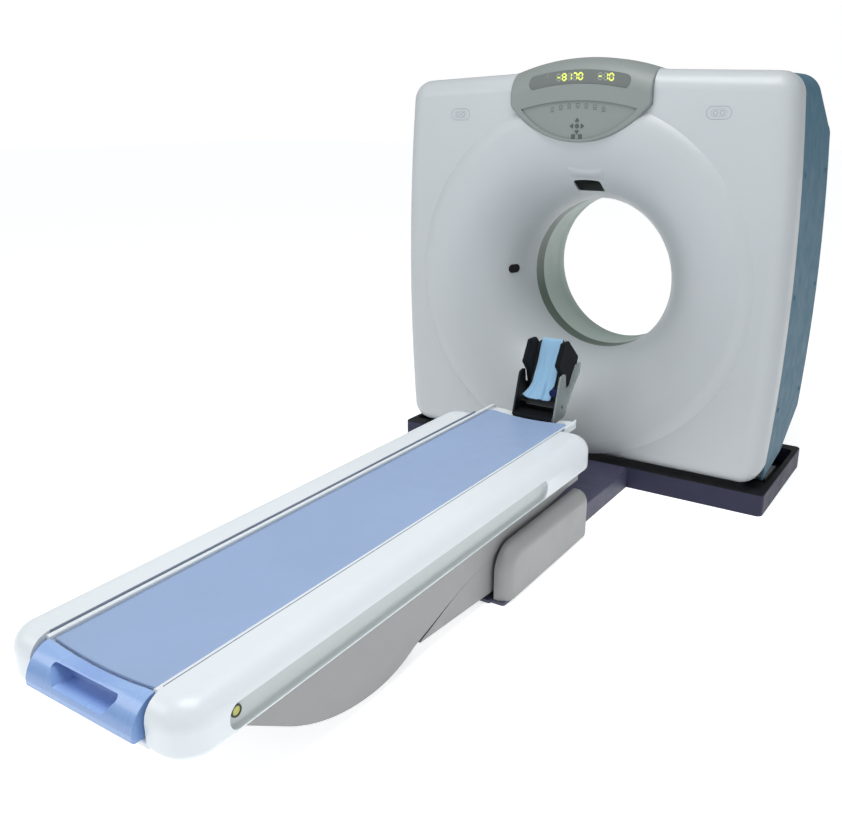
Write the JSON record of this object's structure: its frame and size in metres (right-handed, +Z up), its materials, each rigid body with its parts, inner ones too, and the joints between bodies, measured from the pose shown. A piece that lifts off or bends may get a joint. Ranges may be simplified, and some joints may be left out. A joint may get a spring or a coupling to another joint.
{
  "type": "CT scanner",
  "caption": "CT scanner: a tilting ring gantry with a moulded trumpet bore and rotor inside, and a low patient table on a swing arm with a sliding cradle and head holder.",
  "frame": {"origin": "on the floor below the middle of the whole machine's bounding box", "axes": "+X to the right of someone at the table's foot end facing the gantry, +Y from the table's foot to the gantry's back, +Z up"},
  "size_m": [1.8156, 3.492, 1.8379],
  "materials": {
    "cover_grey": "satin",
    "cover_teal": "satin",
    "cover_warm": "satin",
    "panel_grey": "satin",
    "smoked_window": "gloss",
    "window_dark": "satin",
    "liner_pale": "satin",
    "base_blue": "satin",
    "frame_steel": "satin",
    "ground_steel": "polished",
    "cast_alloy": "cast",
    "ring_copper": "polished",
    "tube_paint": "satin",
    "detector_black": "satin",
    "motor_paint": "satin",
    "rail_white": "satin",
    "marker_yellow": "satin",
    "handle_blue": "satin",
    "pad_blue": "satin",
    "holder_black": "satin",
    "foam_black": "matte",
    "cloth_blue": "matte",
    "knob_blue": "satin",
    "key_grey": "satin"
  },
  "bodies": {
    "base": {"base_tray": "base_blue", "upright_left": "frame_steel", "upright_right": "frame_steel", "tilt_gearmotor": "motor_paint", "table_base": "frame_steel", "spine_duct": "base_blue", "pivot_cover_left": "cover_warm", "pivot_cover_right": "cover_warm", "lift_gearmotor": "motor_paint"},
    "gantry": {"tilt_frame": "frame_steel", "front_cover": "cover_grey", "rear_cover": "cover_teal", "side_cover_left": "cover_teal", "side_cover_right": "cover_teal", "top_cover": "cover_teal", "scan_window": "window_dark", "bore_liner": "liner_pale", "panel_housing": "panel_grey", "display_window": "smoked_window", "laser_window_top": "smoked_window", "laser_window_left": "smoked_window", "bearing_outer": "ground_steel", "rotor_motor": "motor_paint"},
    "rotor": {"bearing_inner": "ground_steel", "rotor_drum": "cast_alloy", "xray_tube": "tube_paint", "collimator": "cast_alloy", "detector_arc": "detector_black", "generator_box": "tube_paint", "slip_ring": "ring_copper"},
    "arm": {"lift_arm": "frame_steel", "arm_cover": "cover_warm", "arm_shaft": "ground_steel"},
    "link": {"tie_link": "frame_steel"},
    "table": {"table_frame": "frame_steel", "rail_left": "rail_white", "rail_right": "rail_white", "foot_lip": "rail_white", "boat_cover": "cover_warm", "cradle_motor": "motor_paint", "level_shaft": "ground_steel", "marker_disc": "marker_yellow"},
    "cradle": {"cradle_shell": "rail_white", "cradle_pad": "pad_blue", "foot_handle": "handle_blue", "head_bracket": "holder_black"},
    "headrest": {"head_board": "holder_black", "side_pad_left": "foam_black", "side_pad_right": "foam_black", "head_cloth": "cloth_blue"},
    "knob": {"head_knob": "knob_blue"},
    "button_up": {"key_up": "key_grey"},
    "button_down": {"key_down": "key_grey"},
    "button_left": {"key_left": "key_grey"},
    "button_right": {"key_right": "key_grey"},
    "button_centre": {"key_centre": "key_grey"},
    "button_low_left": {"key_low_left": "key_grey"},
    "button_low_right": {"key_low_right": "key_grey"}
  },
  "joints": [
    {"name": "gantry_tilt", "type": "hinge", "parent": "base", "child": "gantry", "pos_m": [0, 1.273, 0.895], "axis": [1, 0, 0], "range_deg": [-20, 20]},
    {"name": "rotor_spin", "type": "hinge", "parent": "gantry", "child": "rotor", "pos_m": [0, 1.465, 0.895], "axis": [0, 1, 0], "continuous": true},
    {"name": "arm_lift", "type": "hinge", "parent": "base", "child": "arm", "pos_m": [0, 0.086, 0.12], "axis": [-1, 0, 0], "range_deg": [0, 21.6]},
    {"name": "table_level", "type": "hinge", "parent": "arm", "child": "table", "pos_m": [0, -1.014, 0.197], "axis": [-1, 0, 0], "range_deg": [-21.8, 0.2]},
    {"name": "tie_swing", "type": "hinge", "parent": "base", "child": "link", "pos_m": [0, 0.086, 0.065], "axis": [-1, 0, 0], "range_deg": [-0.2, 21.8]},
    {"name": "cradle_slide", "type": "slide", "parent": "table", "child": "cradle", "axis": [0, 1, 0], "range_m": [0, 0.68]},
    {"name": "headrest_tilt", "type": "hinge", "parent": "cradle", "child": "headrest", "pos_m": [0, 0.601, 0.425], "axis": [-1, 0, 0], "range_deg": [-25, 0]},
    {"name": "knob_turn", "type": "hinge", "parent": "cradle", "child": "knob", "pos_m": [0.084, 0.583, 0.49], "axis": [0, 1, 0], "continuous": true},
    {"name": "press_up", "type": "slide", "parent": "gantry", "child": "button_up", "axis": [0, 1, 0], "range_m": [0, 0.001], "stiffness_N_per_m": 600},
    {"name": "press_down", "type": "slide", "parent": "gantry", "child": "button_down", "axis": [0, 1, 0], "range_m": [0, 0.001], "stiffness_N_per_m": 600},
    {"name": "press_left", "type": "slide", "parent": "gantry", "child": "button_left", "axis": [0, 1, 0], "range_m": [0, 0.001], "stiffness_N_per_m": 600},
    {"name": "press_right", "type": "slide", "parent": "gantry", "child": "button_right", "axis": [0, 1, 0], "range_m": [0, 0.001], "stiffness_N_per_m": 600},
    {"name": "press_centre", "type": "slide", "parent": "gantry", "child": "button_centre", "axis": [0, 1, 0], "range_m": [0, 0.001], "stiffness_N_per_m": 600},
    {"name": "press_low_left", "type": "slide", "parent": "gantry", "child": "button_low_left", "axis": [0, 1, 0], "range_m": [0, 0.001], "stiffness_N_per_m": 600},
    {"name": "press_low_right", "type": "slide", "parent": "gantry", "child": "button_low_right", "axis": [0, 1, 0], "range_m": [0, 0.001], "stiffness_N_per_m": 600}
  ],
  "couplings": [
    {"joint": "table_level", "follows": "arm_lift", "ratio": -1},
    {"joint": "tie_swing", "follows": "arm_lift", "ratio": 1},
    {"joint": "cradle_slide", "follows": "arm_lift", "m_per_rad": 1.8}
  ]
}
